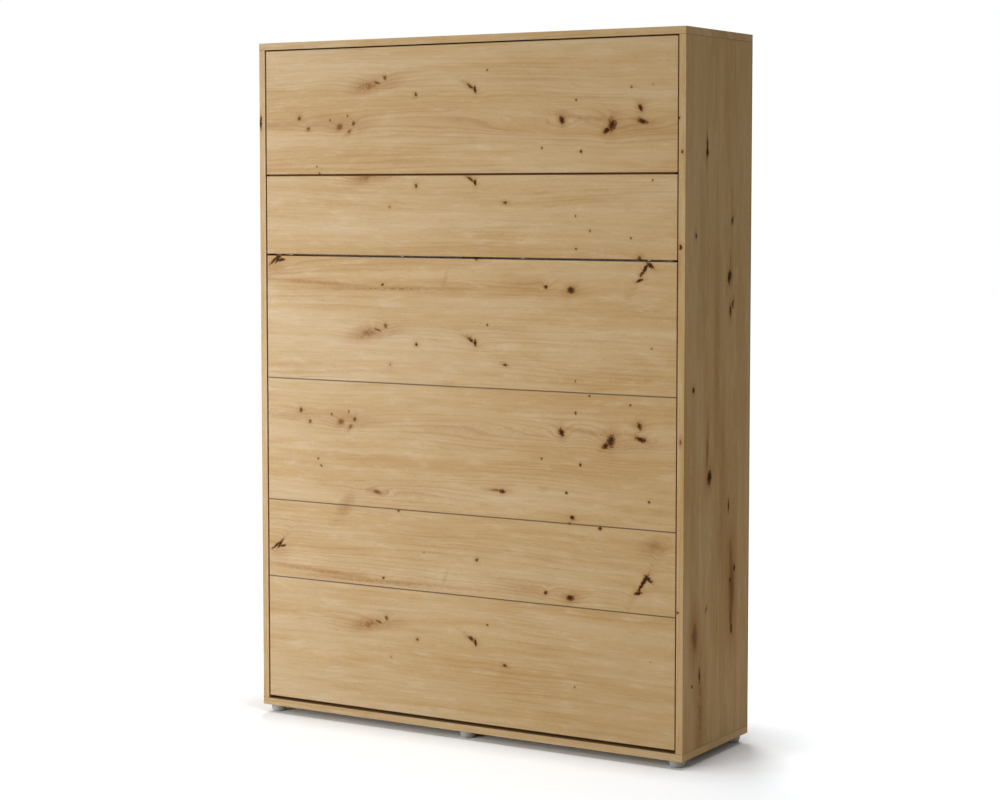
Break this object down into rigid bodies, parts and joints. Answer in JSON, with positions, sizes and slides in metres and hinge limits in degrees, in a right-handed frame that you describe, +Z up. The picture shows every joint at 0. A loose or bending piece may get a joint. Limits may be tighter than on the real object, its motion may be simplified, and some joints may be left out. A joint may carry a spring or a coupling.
{
  "type": "murphy wall bed",
  "caption": "Vertical wall bed in an oak-finish cabinet on low feet; the plain board front is the bed's underside and one board swings out as its leg.",
  "frame": {"origin": "on the floor, under the middle of the cabinet's width and depth", "axes": "+X to the right seen from the front, -Y out of the front, +Z up; the bed is drawn closed"},
  "size_m": [1.54, 0.45, 2.185],
  "materials": {
    "oak_panel": "satin",
    "back_board": "matte",
    "frame_wood": "satin",
    "beech": "satin",
    "white_plastic": "satin",
    "grey_plastic": "satin",
    "joint_strip": "matte",
    "black_plastic": "satin",
    "zinc_steel": "satin",
    "bronze_steel": "satin",
    "black_steel": "satin",
    "chrome_rod": "polished",
    "rubber": "matte",
    "mattress_fabric": "matte",
    "strap_webbing": "matte"
  },
  "bodies": {
    "cabinet": {"side_panel_left": "oak_panel", "side_panel_right": "oak_panel", "top_panel": "oak_panel", "bottom_panel": "oak_panel", "back_sheet_lower": "back_board", "back_sheet_middle": "back_board", "back_sheet_upper": "back_board", "back_joint_strips": "white_plastic", "back_nails": "zinc_steel", "lower_wall_rail": "frame_wood", "middle_wall_rail": "frame_wood", "upper_wall_rail": "frame_wood", "wall_brackets": "zinc_steel", "cam_locks": "zinc_steel", "cam_bolts": "zinc_steel", "wood_dowels": "beech", "pivot_plate_left": "zinc_steel", "pivot_plate_right": "zinc_steel", "pivot_pins": "zinc_steel", "plate_screws": "zinc_steel", "stop_blocks": "frame_wood", "closing_bumpers": "rubber", "front_feet": "grey_plastic", "rear_feet": "grey_plastic", "foot_screws": "zinc_steel"},
    "bed": {"front_board_bottom": "oak_panel", "front_board_narrow": "oak_panel", "front_board_centre": "oak_panel", "front_board_upper": "oak_panel", "front_board_top": "oak_panel", "front_joint_strips": "joint_strip", "side_rail_left": "frame_wood", "side_rail_right": "frame_wood", "head_rail": "frame_wood", "foot_rail": "frame_wood", "cross_rails": "frame_wood", "centre_beam": "black_steel", "slat_ledges": "frame_wood", "slats": "beech", "slat_holders": "black_plastic", "mattress": "mattress_fabric", "mattress_straps": "strap_webbing", "bed_plate_left": "zinc_steel", "bed_plate_right": "zinc_steel", "pivot_bushes": "white_plastic", "board_screws": "zinc_steel", "leg_hinge_fixed_leaf": "bronze_steel", "leg_hinge_pin": "zinc_steel"},
    "leg": {"leg_board": "oak_panel", "leg_hinge_moving_leaf": "bronze_steel", "leg_cranks": "black_steel", "leg_glides": "grey_plastic", "leg_screws": "zinc_steel"},
    "leg_link_left": {"leg_link_left": "zinc_steel"},
    "leg_link_right": {"leg_link_right": "zinc_steel"},
    "strut_tube_left": {"strut_tube_left": "black_steel"},
    "strut_tube_right": {"strut_tube_right": "black_steel"},
    "strut_rod_left": {"strut_rod_left": "chrome_rod"},
    "strut_rod_right": {"strut_rod_right": "chrome_rod"}
  },
  "joints": [
    {"name": "bed_tilt", "type": "hinge", "parent": "cabinet", "child": "bed", "pos_m": [0, -0.158, 0.319], "axis": [1, 0, 0], "range_deg": [0, 90]},
    {"name": "leg_swing", "type": "hinge", "parent": "bed", "child": "leg", "pos_m": [0, -0.2208, 1.7605], "axis": [1, 0, 0], "range_deg": [-90, 0]},
    {"name": "leg_link_left_swing", "type": "hinge", "parent": "cabinet", "child": "leg_link_left", "pos_m": [-0.733, -0.132, 0.364], "axis": [1, 0, 0], "range_deg": [0, 90]},
    {"name": "strut_tube_left_swing", "type": "hinge", "parent": "cabinet", "child": "strut_tube_left", "pos_m": [-0.733, -0.05657, 0.53651], "axis": [1, 0, 0], "range_deg": [0, 45]},
    {"name": "strut_rod_left_swing", "type": "hinge", "parent": "bed", "child": "strut_rod_left", "pos_m": [-0.733, -0.17892, 0.07991], "axis": [1, 0, 0], "range_deg": [-45, 0]},
    {"name": "leg_link_right_swing", "type": "hinge", "parent": "cabinet", "child": "leg_link_right", "pos_m": [0.733, -0.132, 0.364], "axis": [1, 0, 0], "range_deg": [0, 90]},
    {"name": "strut_tube_right_swing", "type": "hinge", "parent": "cabinet", "child": "strut_tube_right", "pos_m": [0.733, -0.05657, 0.53651], "axis": [1, 0, 0], "range_deg": [0, 45]},
    {"name": "strut_rod_right_swing", "type": "hinge", "parent": "bed", "child": "strut_rod_right", "pos_m": [0.733, -0.17892, 0.07991], "axis": [1, 0, 0], "range_deg": [-45, 0]}
  ],
  "couplings": [
    {"joint": "leg_swing", "follows": "bed_tilt", "ratio": -1},
    {"joint": "leg_link_left_swing", "follows": "bed_tilt", "ratio": 1},
    {"joint": "strut_tube_left_swing", "follows": "bed_tilt", "ratio": 0.5},
    {"joint": "strut_rod_left_swing", "follows": "bed_tilt", "ratio": -0.5},
    {"joint": "leg_link_right_swing", "follows": "bed_tilt", "ratio": 1},
    {"joint": "strut_tube_right_swing", "follows": "bed_tilt", "ratio": 0.5},
    {"joint": "strut_rod_right_swing", "follows": "bed_tilt", "ratio": -0.5}
  ]
}
